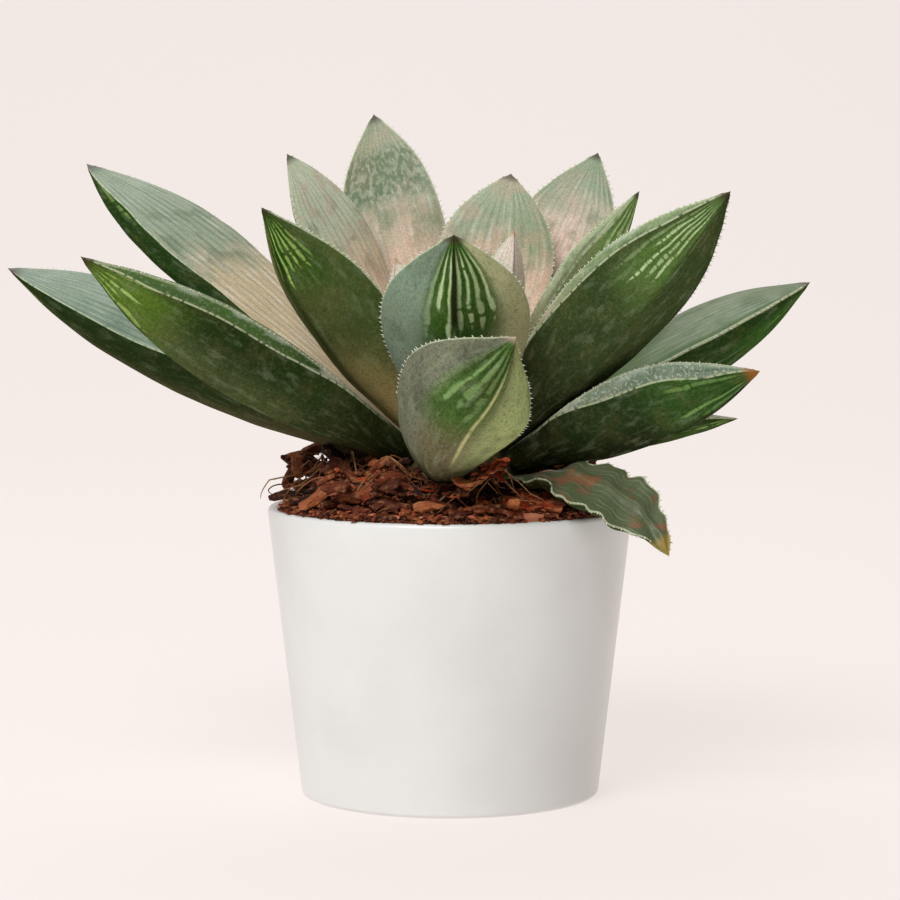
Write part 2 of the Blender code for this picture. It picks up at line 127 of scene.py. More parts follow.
LEAVES = [
    leaf("low_1", 184, 24.0, 0.0718, 0.019, 0.0096, bend=4, roll=-28, full=1.0, keel=0.7),
    leaf("low_2", 213.5, 27.2, 0.0694, 0.0186, 0.0098, bend=4, roll=8, full=0.5, keel=0.7),
    leaf("low_3", 262, 13, 0.043, 0.0212, 0.0095, bend=36, swing=84, late=(0.7, 1.8), roll=-42,
         base_roll=0, full=1.0),
    leaf("low_4", 331, 20.8, 0.0472, 0.019, 0.009, bend=-2, roll=-25, full=0.5),
    leaf("low_5", 8, 29.4, 0.0574, 0.0195, 0.0096, bend=-2, roll=10, full=0.8),
    leaf("low_6", 30, 13, 0.0464, 0.011, 0.0045, bend=-14),
    leaf("mid_1", 155.4, 36.0, 0.078, 0.0222, 0.0076, bend=1, roll=-15, full=1.0),
    leaf("mid_2", 221, 47.2, 0.051, 0.019, 0.008, bend=2, roll=14, full=0.2),
    leaf("mid_3", 268.6, 41, 0.0442, 0.0235, 0.008, bend=26, full=1.0),
    leaf("mid_4", 317, 39.6, 0.0642, 0.0185, 0.008, bend=2, roll=-38, base_roll=-20),
    leaf("top_1", 183, 62, 0.0505, 0.0205, 0.0048, bend=1, swing=3, roll=-34, base_roll=-22, full=1.0),
    leaf("top_2", 125, 64, 0.0565, 0.0175, 0.0044, bend=3, swing=-11, roll=-42, base_roll=-6, full=0.9),
    leaf("top_3", 56, 74, 0.042, 0.0196, 0.0042, bend=1, swing=-13, roll=42, base_roll=4, full=1.0),
    leaf("top_4", 45, 56.6, 0.0534, 0.0195, 0.006, bend=4, roll=32, base_roll=8, full=0.6),
    leaf("top_5", 348, 57.9, 0.046, 0.014, 0.006, roll=-20, full=0.2),
    leaf("back_1", 60, 24, 0.056, 0.017, 0.009, bend=6),
    leaf("back_2", 95, 22, 0.06, 0.018, 0.009, bend=6),
    leaf("back_3", 128.5, 23.6, 0.058, 0.017, 0.009, bend=6),
    leaf("back_4", 77, 41, 0.048, 0.0145, 0.008, bend=4),
    leaf("back_5", 117, 42, 0.04, 0.0138, 0.0075, bend=4),
    leaf("back_6", 36.5, 41, 0.044, 0.0138, 0.0063, bend=4),
    leaf("heart_1", 299, 64, 0.035, 0.011, 0.0045, bend=8),
    leaf("heart_2", 232, 64, 0.03, 0.012, 0.005, bend=6),
    leaf("heart_3", 190, 79, 0.026, 0.0095, 0.0038),
    leaf("heart_4", 330, 86, 0.024, 0.007, 0.0032),
    leaf("old", 315, 8, 0.0372, 0.015, 0.003, bend=-56, swing=8, roll=24, base_roll=0, full=0.4,
         keel=0.3, lift=-0.0008),
]

# Colours of the leaves, as red, green and blue from 0 to 255. Places along a leaf go from 0 at its
# base to 1 at its tip, places across it from -1 to 1, and amounts from 0 to 1.
#
# Lower face: base, body and bright are its colours at the base, in the middle and among the
# streaks, and sides are those towards its two margins. A base darker than the body is painted
# shade deep in the rosette, and the dark sides of low_1 and the dark right side of low_2 are
# painted shade too. The streaks are pale windows near the tip: window is where they start, lines
# how many lines there are, rows the share of them with a streak, flecks and solid how broken and
# how whole they are, and cluster the middle and half-width of the streaked part across the leaf.
# keel_line is how pale the keel, at keel_at across, is over keel_span, and spine how dark it is
# beyond. grime is how blotched the face is and how strong its pale lengthwise streaks are, which
# are partly painted sheen.
#
# Upper face: upper_base and upper are its colours before and after turn. vein and veins are the
# colour and amount of its dark lines, and sheen, blush and rust the amounts of pale lines between
# them, pink patches and rust-red patches. dashes is where short dark dashes start and end.
#
# A strip is upper face that shows on the lower one beyond a pale margin line, and a hem is lower
# face that shows on the upper one: each is a width in mm, on the side of its sign. frost is how
# strongly white specks of painted highlight whiten a strip, and tip the colour from tip_from on.
GREEN = dict(
    slot="leaf", base=(56, 62, 28), body=(50, 66, 30), bright=(56, 84, 34), streak=(176, 210, 120),
    window=0.72, lines=9, rows=0.8, flecks=0.6, solid=0.9, cluster=(0, 0.8), keel_line=0.0, keel_at=0,
    keel_span=(0.2, 0.72), spine=0.6, sides=None, grime=1.0, upper_base=(176, 162, 130),
    upper=(134, 150, 120), turn=(0.3, 0.62), vein=(74, 96, 62), veins=0.55, sheen=0.35, blush=0,
    rust=0, dashes=None, strip=0, hem=0, frost=0.12, tip=(58, 44, 36), tip_from=0.955)
PLAIN = dict(GREEN, keel_line=0.4)
PALE = dict(
    PLAIN, slot="leaf_pale", base=(140, 126, 92), body=(104, 118, 82), bright=(110, 136, 86),
    streak=(170, 190, 140), window=0.66, upper_base=(210, 190, 166), upper=(160, 172, 140),
    turn=(0.44, 0.74), vein=(96, 122, 80), veins=0.4, blush=0.35)
LOOKS = {
    "low_1": dict(
        GREEN, base=(92, 84, 58), body=(62, 62, 40), bright=(36, 60, 24), window=0.84, grime=0.6,
        # Both dark sides are painted shade on the underside.
        sides=((28, 48, 18), (30, 50, 20)), upper=(134, 152, 130), vein=(70, 100, 92), veins=0.5, hem=1.4),
    "low_2": dict(
        GREEN, base=(46, 54, 24), body=(78, 90, 54), bright=(90, 118, 42), streak=(178, 206, 118),
        # The dark right side is painted shade.
        window=0.77, lines=11, rows=1.0, flecks=0.9, sides=((98, 102, 56), (28, 52, 14)),
        upper_base=(44, 66, 30), upper=(76, 104, 54), strip=2.0),
    "low_3": dict(
        GREEN, base=(78, 70, 44), body=(112, 106, 80), bright=(78, 108, 50), streak=(138, 168, 108),
        window=0.62, flecks=0.9, solid=0.3, cluster=(-0.06, 0.46), keel_line=0.9, keel_at=0.3,
        keel_span=(0.34, 0.86), spine=0.2, grime=1.5, sides=((120, 124, 106), (176, 190, 126)),
        upper_base=(176, 176, 150), upper=(138, 160, 142), tip=(206, 176, 158), tip_from=0.965),
    "low_4": dict(
        GREEN, base=(36, 40, 20), body=(42, 48, 28), bright=(56, 86, 38), streak=(126, 164, 92),
        window=0.64, lines=13, flecks=1.2, solid=0.4, cluster=(-0.5, 0.45),
        sides=((44, 64, 32), (38, 44, 24)), upper_base=(120, 136, 112), upper=(122, 138, 118), strip=-2.6,
        frost=0.4, tip=(150, 96, 46), tip_from=0.94),
    "low_5": dict(
        GREEN, base=(34, 46, 20), body=(42, 64, 28), bright=(58, 94, 38), streak=(104, 140, 78), rows=0.4,
        sides=((44, 70, 30), (44, 70, 30)), upper_base=(120, 122, 84), upper=(82, 106, 60),
        turn=(0.0, 0.35), vein=(52, 78, 44), veins=0.6, sheen=0.12),
    "mid_1": dict(
        PLAIN, base=(44, 54, 24), body=(40, 62, 26), bright=(50, 80, 30), window=0.76,
        upper_base=(206, 186, 150), upper=(146, 162, 136), turn=(0.46, 0.72), hem=3.2),
    "mid_2": dict(
        GREEN, base=(206, 182, 122), body=(86, 94, 52), bright=(54, 88, 22), streak=(176, 210, 112),
        window=0.74, lines=13, rows=0.9, flecks=0.9, cluster=(0.1, 0.6),
        sides=((152, 142, 98), (72, 90, 46)), turn=(0.4, 0.8)),
    "mid_3": dict(
        GREEN, base=(116, 112, 78), body=(80, 102, 50), bright=(60, 94, 32), streak=(206, 224, 172),
        window=0.63, lines=13, rows=0.85, flecks=0.8, cluster=(0.12, 0.5), keel_line=0.9,
        keel_span=(0.2, 0.63), spine=0.95, sides=((132, 150, 132), (186, 184, 140)),
        upper_base=(176, 176, 150), upper=(126, 150, 126)),
    "mid_4": dict(
        GREEN, base=(50, 54, 30), body=(64, 80, 44), bright=(84, 112, 54), streak=(194, 214, 160),
        window=0.66, lines=15, flecks=1.7, solid=0.4, cluster=(-0.36, 0.36), upper=(134, 154, 112),
        strip=-1.6),
    "top_1": dict(PALE, upper_base=(244, 222, 192), upper=(212, 220, 190), turn=(0.54, 0.72), blush=0.4),
    "top_2": dict(
        PALE, upper_base=(220, 186, 160), upper=(146, 156, 126), dashes=(0.68, 0.9), veins=0.25,
        blush=0.2),
    "top_3": dict(PALE, upper_base=(226, 196, 172), turn=(0.58, 0.82)),
    "top_4": dict(PALE, upper_base=(236, 202, 182), upper=(148, 162, 132), turn=(0.6, 0.86), blush=0.2),
    "top_5": dict(
        GREEN, base=(186, 160, 124), body=(146, 156, 112), bright=(122, 152, 86), streak=(190, 210, 152),
        upper=(184, 194, 156), strip=-1.6),
    "heart": dict(
        GREEN, slot="leaf_heart", base=(238, 214, 198), body=(246, 228, 214), bright=(240, 222, 198),
        window=1.2, grime=0.2, sides=((248, 232, 218), (248, 232, 218)), tip=(206, 160, 126),
        upper_base=(240, 218, 204), upper=(232, 214, 192), turn=(0.5, 0.9), vein=(168, 128, 100)),
    "old": dict(
        GREEN, slot="leaf_old", base=(70, 70, 38), body=(56, 70, 40), bright=(120, 120, 58), window=0.88,
        upper_base=(76, 84, 56), upper=(94, 104, 72), turn=(0.1, 0.5), vein=(56, 68, 42), veins=0.35,
        sheen=0.12, rust=0.5, tip=(158, 138, 66), tip_from=0.9),
}


def look_of(shape):
    """The look of the leaf's own name, or of its name's first word, or else the plain one."""
    tier = shape.name.split("_")[0]
    return SimpleNamespace(**LOOKS.get(shape.name, LOOKS.get(tier, PLAIN)))


class Value:
    """A value that nodes work out. Arithmetic on it adds Math nodes."""

    def __init__(self, nodes, socket):
        self.nodes = nodes
        self.socket = socket

    def __add__(self, other):
        return self.nodes.math("ADD", self, other)

    def __sub__(self, other):
        return self.nodes.math("SUBTRACT", self, other)

    def __rsub__(self, other):
        return self.nodes.math("SUBTRACT", other, self)

    def __mul__(self, other):
        return self.nodes.math("MULTIPLY", self, other)

    def __abs__(self):
        return self.nodes.math("ABSOLUTE", self)


class Nodes:
    """A node tree, with short calls that add nodes to it."""

    def __init__(self, tree):
        self.tree = tree

    def plug(self, socket, value):
        if isinstance(value, Value):
            self.tree.links.new(value.socket, socket)
        else:
            socket.default_value = value

    def node(self, kind, output=0, inputs=None, **settings):
        made = self.tree.nodes.new("ShaderNode" + kind)
        for key, value in settings.items():
            setattr(made, key, value)
        for key, value in (inputs or {}).items():
            self.plug(made.inputs[key], value)
        return Value(self, made.outputs[output])

    def math(self, operation, *values):
        return self.node("Math", inputs=dict(enumerate(values)), operation=operation)

    def step(self, value, low, high, start=0.0, end=1.0):
        """Goes smoothly from start to end as the value goes from low to high."""
        ends = {"Value": value, "From Min": low, "From Max": high, "To Min": start, "To Max": end}
        return self.node("MapRange", inputs=ends, interpolation_type="SMOOTHSTEP")

    def blend(self, share, first, second, mode="MIX"):
        """Mixes two colours. A tuple is a colour in the usual numbers from 0 to 255."""
        first, second = (rgb(*c) if isinstance(c, tuple) else c for c in (first, second))
        return self.node("Mix", 2, {0: share, 6: first, 7: second}, data_type="RGBA", blend_type=mode)

    def vector(self, *parts):
        return self.node("CombineXYZ", inputs=dict(enumerate(parts)))

    def parts(self, vector):
        outputs = self.node("SeparateXYZ", inputs={0: vector}).socket.node.outputs
        return [Value(self, outputs[i]) for i in range(3)]


class Shader(Nodes):
    """A material with one Principled surface."""

    def __init__(self, name, **constants):
        self.material = bpy.data.materials.new(name)
        self.material.use_nodes = True
        super().__init__(self.material.node_tree)
        self.surface = self.tree.nodes["Principled BSDF"].inputs
        for key, value in constants.items():
            self.surface[key.replace("_", " ")].default_value = value
        self.where = self.node("TexCoord", "Object")

    def noise(self, pitch, detail=2.0, where=None):
        """Noise from 0 to 1 whose features are about a pitch wide."""
        inputs = {"Vector": where or self.where, "Scale": 1 / pitch, "Detail": detail}
        return self.node("TexNoise", inputs=inputs)

    def attribute(self, name, output="Vector"):
        return self.node("Attribute", output, attribute_name=name)

    def finish(self, colour, roughness=None, bump=None, height=None):
        self.plug(self.surface["Base Color"], colour)
        if roughness is not None:
            self.plug(self.surface["Roughness"], roughness)
        if bump is not None:
            normal = self.node("Bump", inputs={"Strength": 1.0, "Distance": height, "Height": bump})
            self.plug(self.surface["Normal"], normal)
        return self.material


class Paint:
    """A colour that is painted over, one layer after another."""

    def __init__(self, m, colour):
        self.m = m
        self.colour = colour

    def over(self, share, colour):
        self.colour = self.m.blend(share, self.colour, colour)

    def patches(self, value, low, high, most, colour):
        """Paints more, up to the most, as the value goes from low to high."""
        self.over(self.m.step(value, low, high, 0.0, most), colour)


def grid_faces(rows, columns, ring=False, loop=True):
    """Quads between rows of points. A ring joins the last row to the first, and a loop each row's ends."""
    faces = []
    for i in range(rows if ring else rows - 1):
        here = i * columns
        there = (i + 1) % rows * columns
        for j in range(columns if loop else columns - 1):
            k = (j + 1) % columns
            faces.append((here + j, there + j, there + k, here + k))
    return faces


def capped_faces(rings, sides):
    """Faces of a closed tube of rings."""
    return grid_faces(rings, sides) + [tuple(range(sides)),
                                       tuple(reversed(range((rings - 1) * sides, rings * sides)))]


def smooth(points, places):
    """Values on a smooth curve through (place, value) points."""
    x = np.array([p[0] for p in points], float)
    y = np.array([p[1] for p in points], float)
    slope = np.gradient(y, x)
    i = np.clip(np.searchsorted(x, places, side="right") - 1, 0, len(x) - 2)
    h = x[i + 1] - x[i]
    t = (places - x[i]) / h
    ends = (2 * t ** 3 - 3 * t ** 2 + 1) * y[i] + (3 * t ** 2 - 2 * t ** 3) * y[i + 1]
    return ends + ((t ** 3 - 2 * t ** 2 + t) * slope[i] + (t ** 3 - t ** 2) * slope[i + 1]) * h


def directions(azimuth, rise):
    a = np.radians(azimuth)
    r = np.radians(rise)
    return np.stack([np.cos(a) * np.cos(r), np.sin(a) * np.cos(r), np.sin(r)], -1)


def leaf_frame(shape, count):
    """Along the leaf: places, points, tangents, and the sideways and upper-face directions."""
    s = np.linspace(0, 1, count)
    bend_late, swing_late = shape.late
    azimuth = shape.azimuth + shape.swing * s ** swing_late
    tangent = directions(azimuth, shape.rise + shape.bend * s ** bend_late)
    steps = (tangent[1:] + tangent[:-1]) / 2 * shape.length / (count - 1)
    crown = np.array([CROWN_X, 0, CROWN_Z + shape.lift])
    start = crown + directions(shape.azimuth, shape.rise) * (CROWN_RADIUS + GAP)
    point = start + np.concatenate([np.zeros((1, 3)), np.cumsum(steps, 0)])
    side = directions(azimuth + 90, 0 * azimuth)
    side = side - (side * tangent).sum(-1, keepdims=True) * tangent
    side /= np.linalg.norm(side, axis=-1, keepdims=True)
    upper = np.cross(tangent, side)
    turn = shape.base_roll + (shape.roll - shape.base_roll) * np.minimum(1, 1.5 * s)
    c = np.cos(np.radians(turn))[:, None]
    d = np.sin(np.radians(turn))[:, None]
    return s, point, tangent, side * c + upper * d, upper * c - side * d


def fade(value, low, high):
    """0 below low, 1 above high, and a smooth rise between."""
    t = np.clip((value - low) / (high - low), 0, 1)
    return t * t * (3 - 2 * t)


def grooves(across, lines):
    """How deep a lengthwise groove is at each place across, from 0 to 1."""
    cell = across * lines / 2
    return 1 - fade(np.abs(cell - np.round(cell)), 0, GROOVE_WIDTH)


def leaf_surface(shape):
    """Vertices, faces and leaf coordinates of one fine leaf, and what its teeth stand on."""
    count = round(shape.length / STATION_PITCH)
    s, point, tangent, side, upper = leaf_frame(shape, count)
    half = smooth(SLIM, s) * (1 - shape.full) + smooth(BROAD, s) * shape.full
    tip = np.sqrt(np.clip((1 - s) / TIP_SHARE, 0, 1))
    half = shape.width / 2 * half * tip
    if shape.name == "old":
        half = half * ragged(s)
    depth = shape.depth * smooth(DEPTH, s) * tip
    keel = (shape.keel * np.clip((s - 0.1) / 0.4, 0, 1))[:, None]
    top = np.arange(UPPER_POINTS) * math.pi / UPPER_POINTS
    bottom = np.arange(LOWER_POINTS) * math.pi / LOWER_POINTS
    x = np.concatenate([np.cos(top), -np.cos(bottom)])
    rounded = np.sin(bottom) ** MARGIN_ROUND
    ridged = 1 - np.abs(np.cos(bottom))
    y_top = np.repeat(UPPER_SWELL * np.sin(top)[None], count, 0)
    y_bottom = -((1 - keel) * rounded + keel * ridged)
    y = np.concatenate([y_top, y_bottom], 1) * depth[:, None]
    veined = (fade(s, 0.5, 0.8) * (1 - fade(s, 0.93, 1)))[:, None]
    inside = 1 - fade(np.abs(x), 0.85, 1)
    sunk = np.concatenate([-GROOVE * 0.5 * grooves(x[:UPPER_POINTS], UPPER_LINES),
                           GROOVE * grooves(x[UPPER_POINTS:], look_of(shape).lines)])
    y = y + sunk * inside * veined
    if shape.name == "old":
        y = y + withered(s, x)
    centre = point + upper * (AXIS_RAISE * depth)[:, None]
    across = x[None] * half[:, None]
    vertices = centre[:, None] + side[:, None] * across[..., None] + upper[:, None] * y[..., None]
    n = len(x)
    under = np.concatenate([np.zeros(UPPER_POINTS), np.ones(LOWER_POINTS)])
    place = np.stack([np.repeat(s[:, None], n, 1), np.repeat(x[None], count, 0),
                      np.repeat(under[None], count, 0)], -1)
    edge = margin_distance(across, y)
    frames = (s, {1: vertices[:, 0], -1: vertices[:, UPPER_POINTS]}, tangent, side, upper)
    return vertices.reshape(-1, 3), grid_faces(count, n), place.reshape(-1, 3), edge.ravel(), frames


def margin_distance(across, y):
    """Millimetres along the skin from each point to the nearer margin."""
    around = np.hypot(np.roll(across, -1, 1) - across, np.roll(y, -1, 1) - y)
    run = np.concatenate([np.zeros((len(around), 1)), np.cumsum(around, 1)], 1)
    margins = run[:, [0, UPPER_POINTS]]
    away = np.abs(run[:, :-1, None] - margins[:, None])
    away = np.minimum(away, run[:, -1:, None] - away)
    return away.min(2) * 1000


# The limp old leaf: how far its margins curl, its skin puckers and its fold rises
CURL = 0.0011
PUCKER = 0.0003
FOLD = 0.0006


def ragged(s):
    """Share of the limp old leaf's width that is left along its uneven margins."""
    return 0.87 + 0.07 * np.sin(math.tau * 4.3 * s + 0.8) + 0.06 * np.sin(math.tau * 9.7 * s)


def withered(s, x):
    """How far the limp old leaf's surface rises, in metres: curled margins, puckers and a fold."""
    curl = CURL * np.abs(x[None]) ** 3 * (0.6 + 0.4 * np.sin(math.tau * 3.1 * s + 1.0))[:, None]
    pucker = PUCKER * (1 + np.sin(math.tau * 5.5 * s[:, None] + 4.0 * x[None]))
    ridge = FOLD * np.exp(-((x[None] - 0.15) / 0.16) ** 2)
    return (curl + pucker + ridge) * (fade(s, 0.12, 0.35) * (1 - fade(s, 0.9, 1)))[:, None]


def tooth(root, out, along, length):
    """One small spike: a ring of points round its root, then its point."""
    across = np.cross(out, along)
    turns = np.arange(TOOTH_SIDES) * math.tau / TOOTH_SIDES
    ring = [root + TOOTH_ROOT * (1.5 * math.cos(t) * along + 0.8 * math.sin(t) * across) for t in turns]
    return ring + [root + out * length]


def leaf_teeth(shape, frames, rng):
    """The spikes on the margins, except on the side of a hem, as (vertices, faces, places)."""
    s, margins, tangent, side, upper = frames
    vertices = []
    faces = []
    places = []
    first, last = TOOTH_SPAN
    for across in (1, -1):
        if across * look_of(shape).hem > 0:
            continue
        place = first
        while place < last:
            place += TOOTH_PITCH / shape.length * rng.uniform(0.7, 1.3)
            i = min(len(s) - 1, round(place * (len(s) - 1)))
            grown = min(1, 6 * (place - first) + 0.25, 14 * (1 - place))
            length = TOOTH_LENGTH * rng.uniform(0.55, 1.15) * grown
            out = side[i] * across
            root = margins[across][i]
            lean = out + 0.45 * tangent[i] + rng.uniform(-0.25, 0.25) * upper[i]
            start = len(vertices)
            vertices += tooth(root - out * TOOTH_ROOT, lean / np.linalg.norm(lean), tangent[i],
                              length + TOOTH_ROOT)
            point = start + TOOTH_SIDES
            for j in range(TOOTH_SIDES):
                faces.append((start + j, start + (j + 1) % TOOTH_SIDES, point))
            faces.append(tuple(reversed(range(start, point))))
            places += [(place, across, 0)] * (TOOTH_SIDES + 1)
    return vertices, faces, places


def undulate(vertices, shape):
    """Moves the surface in and out a little, so that no leaf is a perfect loft."""
    offset = Vector((shape.azimuth, shape.rise, 0))
    moved = [noise.noise_vector(Vector(v) / UNDULATION_PITCH + offset) for v in vertices]
    return vertices + UNDULATION * np.array(moved)


def new_mesh(name, vertices, faces):
    mesh = bpy.data.meshes.new(name)
    mesh.from_pydata([tuple(v) for v in vertices], [], faces)
    mesh.validate()
    mesh.shade_smooth()
    return mesh


def add_values(mesh, name, values):
    """Stores one number or vector a vertex in the mesh, for its material to read."""
    values = np.asarray(values, np.float32)
    kind, field = ("FLOAT", "value") if values.ndim == 1 else ("FLOAT_VECTOR", "vector")
    mesh.attributes.new(name, kind, "POINT").data.foreach_set(field, values.ravel())


def add_piece(name, mesh, material, slot, node=None):
    piece = bpy.data.objects.new(name, mesh)
    bpy.context.scene.collection.objects.link(piece)
    mesh.materials.append(material)
    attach(piece, "root")
    if node:
        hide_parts(node)


def streaks(m, look):
    """Share of pale window, and of dark line, on a lower face: streaks that run up to the tip."""
    wander = m.noise(1.0, 2.0, m.vector(m.mm * 0.3, m.across * 2.0, m.seed))
    u = m.across * (look.lines / 2) + (look.lines + m.seed - 0.35) + wander * 0.7
    cell = m.math("FLOOR", u)
    off = abs(m.math("FRACT", u) - 0.5)
    chance = m.node("TexWhiteNoise", "Value", {"W": cell}, noise_dimensions="1D")
    other = m.math("FRACT", chance * 7.31)
    third = m.math("FRACT", chance * 31.7)
    rounding = off * off * 0.5
    begun = m.along - (chance * 0.14 + look.window + rounding)
    grain = m.noise(1.0, 1.0, m.vector(cell * 5.3, chance * 37.0 + m.mm * look.flecks, m.seed))
    solid = begun * look.solid + grain - rounding * 1.6
    strong = m.step(third, 0.0, 0.8, 1.0, 0.6) * m.math("LESS_THAN", other, look.rows)
    broken = m.step(solid, 0.34, 0.5) * m.step(begun, -0.015, 0.015) * strong
    swollen = m.step(abs(begun - 0.035), 0.0, 0.05, 0.08, 0.0)
    body = m.step(off - (third * 0.1 + 0.14) - swollen, -0.12, 0.1, 1.0, 0.0)
    line = m.step(off, 0.24, 0.5) * m.step(begun, -0.08, 0.08)
    return body * broken * m.step(m.along, 0.9, 0.97, 1.0, 0.0), line


def lower_face(m, look):
    """Colour of a leaf's lower face, and the share of it that is window."""
    # Base colour, then the body colour up the leaf. Where the base is darker, it is painted shade deep in
    # the rosette.
    paint = Paint(m, look.base)
    paint.over(m.step(m.along, 0.1, 0.55), look.body)
    # Colours towards the two margins. The dark ones on low_1 and on the right of low_2 are painted shade
    # on the sides turned from the light.
    if look.sides:
        left, right = look.sides
        grown = m.step(m.along, 0.15, 0.45)
        paint.over(m.step(m.across, -0.12, -0.6) * grown * 0.85, left)
        paint.over(m.step(m.across, 0.15, 0.75) * grown * 0.85, right)
    else:
        # Painted shade: a darker band a little inside the margins.
        painted_margin_shade = m.step(m.edge, 0.3, 0.8) * m.step(m.edge, 3.2, 1.6) * m.step(m.along, 0.2, 0.5)
        paint.over(painted_margin_shade * 0.25, (34, 50, 22))
    middle, spread = look.cluster
    near = m.step(abs(m.across - middle), spread + 0.15, spread - 0.15)
    paint.over(m.step(m.along, look.window - 0.1, look.window + 0.08) * near, look.bright)
    # How blotched the face is. The same amount sets the pale streaks below, which are partly painted
    # sheen.
    grime = look.grime
    paint.patches(m.patch, 0.46, 0.7, 0.14 * grime, (124, 112, 72))
    paint.patches(m.noise(0.008, 2.0), 0.48, 0.7, 0.28 * grime, (32, 46, 22))
    # Pale lengthwise streaks: fine lines of the skin, and partly painted sheen.
    skin_lines_and_sheen = m.noise(1.0, 3.0, m.vector(m.across * 9.0, m.mm * 0.22, m.seed))
    paint.patches(skin_lines_and_sheen, 0.5, 0.7, 0.2 * grime, (150, 164, 130))
    mottle = m.noise(0.0007, 3.0)
    paint.patches(mottle, 0.5, 0.7, 0.07 * grime, (150, 164, 120))
    paint.patches(mottle, 0.48, 0.32, 0.18 * grime, (28, 42, 18))
    window, line = streaks(m, look)
    paint.over(line * near * 0.55, (30, 52, 18))
    paint.over(window * near * 0.8, look.streak)
    off = abs(m.across - look.keel_at)
    low, high = look.keel_span
    keel_dark = m.step(off, 0.1, 0.02) * m.step(m.along, high, high + 0.1) * near
    paint.over(keel_dark * look.spine, (34, 38, 18))
    ridge = m.step(off, 0.05, 0.0) * m.step(m.along, low, low + 0.2) * m.step(m.patch, 0.25, 0.5)
    paint.over(ridge * m.step(m.along, high + 0.08, high - 0.04) * look.keel_line, (204, 202, 144))
    return paint.colour, window


def upper_face(m, look):
    """Colour of a leaf's upper face: fine lengthwise lines, pale bloom near its base, blotches."""
    turned_at = m.step(m.noise(0.006, 2.0) * 0.3 + (m.along - 0.15), *look.turn)
    paint = Paint(m, look.upper_base)
    paint.over(turned_at, look.upper)
    u = m.across * (UPPER_LINES / 2) + (m.seed + 0.5)
    off = abs(m.math("FRACT", u) - 0.5)
    streaky = m.noise(1.0, 2.0, m.vector(u * 1.9, m.mm * 0.14, m.seed))
    paint.over(m.step(off, 0.22, 0.46) * m.step(streaky, 0.36, 0.6) * look.veins, look.vein)
    sheen = m.step(off, 0.24, 0.06) * m.step(streaky, 0.48, 0.62) * m.step(m.along, 0.2, 0.6)
    paint.over(sheen * look.sheen, (208, 218, 204))
    paint.patches(m.noise(0.0045, 3.0), 0.46, 0.62, look.blush, (204, 168, 148))
    paint.patches(m.patch, 0.52, 0.64, look.rust, (158, 86, 56))
    if look.dashes:
        low, high = look.dashes
        short = m.step(m.noise(1.0, 2.0, m.vector(u * 1.7, m.mm * 0.7, m.seed)), 0.44, 0.54)
        dashes = short * m.step(m.along, low, low + 0.05) * m.step(m.along, high, high - 0.05)
        paint.over(dashes * 0.65, (80, 100, 62))
    bare = 1.0 - turned_at
    paint.over(m.step(streaky, 0.5, 0.68) * bare * 0.5, (232, 218, 206))
    paint.over(m.step(streaky, 0.48, 0.34) * bare * 0.22, (140, 104, 80))
    blotch = m.step(m.patch, 0.5, 0.66) * m.step(m.along, 0.5, 0.6) * m.step(m.along, 0.86, 0.74)
    paint.over(blotch * 0.35, look.vein)
    return paint.colour


def moved_margin(m, width, dotted):
    """Share of a face that lies beyond a margin painted some mm inside the real one, and of its line."""
    beyond = m.edge - m.step(m.along, 0.22, 0.55) * m.step(m.along, 1.0, 0.8) * abs(width)
    sided = m.math("GREATER_THAN", m.across * math.copysign(1, width), 0.0)
    row = m.step(abs(beyond - 0.15), 0.1, 0.22, 1.0, 0.0)
    return m.step(beyond, 0.04, -0.04) * sided, row * sided * dotted


class Skin(Shader):
    """A leaf's material, with the leaf coordinates that its layers share."""

    def __init__(self, shape, seed):
        super().__init__("skin_" + shape.name, Subsurface_Weight=0.08,
                         Subsurface_Radius=(0.8, 1.0, 0.35), Subsurface_Scale=0.001)
        self.along, self.across, self.under = self.parts(self.attribute("place"))
        self.edge = self.attribute("edge", "Fac")
        self.mm = self.along * (shape.length * 1000)
        self.patch = self.noise(0.0035, 3.0)
        self.seed = seed


def leaf_material(shape, seed):
    m = Skin(shape, seed)
    look = look_of(shape)
    fine = m.noise(0.00035, 2.0)
    lower, window = lower_face(m, look)
    upper = upper_face(m, look)
    dotted = m.step(m.noise(1.0, 1.0, m.vector(m.mm * 1.1, m.across, seed)), 0.36, 0.5, 0.25, 1.0)
    line = m.step(m.edge, 0.22, 0.34, 1.0, 0.0)
    dull = m.under
    if look.strip:
        beyond, row = moved_margin(m, look.strip, dotted)
        # White specks on the strip: painted highlights.
        glint_specks = m.step(m.noise(0.0005, 2.0), 0.54, 0.62) * look.frost
        lower = m.blend(beyond, lower, m.blend(glint_specks, upper, (206, 214, 196)))
        line = m.math("MAXIMUM", line * 0.6, row * m.under)
    if look.hem:
        beyond, row = moved_margin(m, look.hem, dotted)
        upper = m.blend(beyond, upper, lower)
        plain_side = m.math("LESS_THAN", m.across * look.hem, 0.0)
        line = m.math("MAXIMUM", line * plain_side, row * (1.0 - m.under))
        dull = m.math("MAXIMUM", m.under, beyond)
    speckle = m.step(fine, 0.35, 0.65, 0.88, 1.11)
    both = m.blend(m.under, upper, lower)
    paint = Paint(m, m.blend(1.0, both, m.vector(speckle, speckle, speckle), "MULTIPLY"))
    paint.over(line * m.step(m.along, 0.08, 0.25) * (dotted * 0.5 + 0.4) * 0.85, (196, 204, 166))
    paint.over(m.attribute("tooth", "Fac"), (226, 228, 208))
    paint.patches(m.along, look.tip_from, look.tip_from + 0.035, 0.85, look.tip)
    m.plug(m.surface["Specular IOR Level"], m.step(dull, 0.0, 1.0, 0.36, 0.0))
    roughness = m.step(m.patch, 0.3, 0.7, 0.38, 0.54)
    return m.finish(paint.colour, roughness, fine * 0.6 + window * m.under * 0.8, 0.00006)


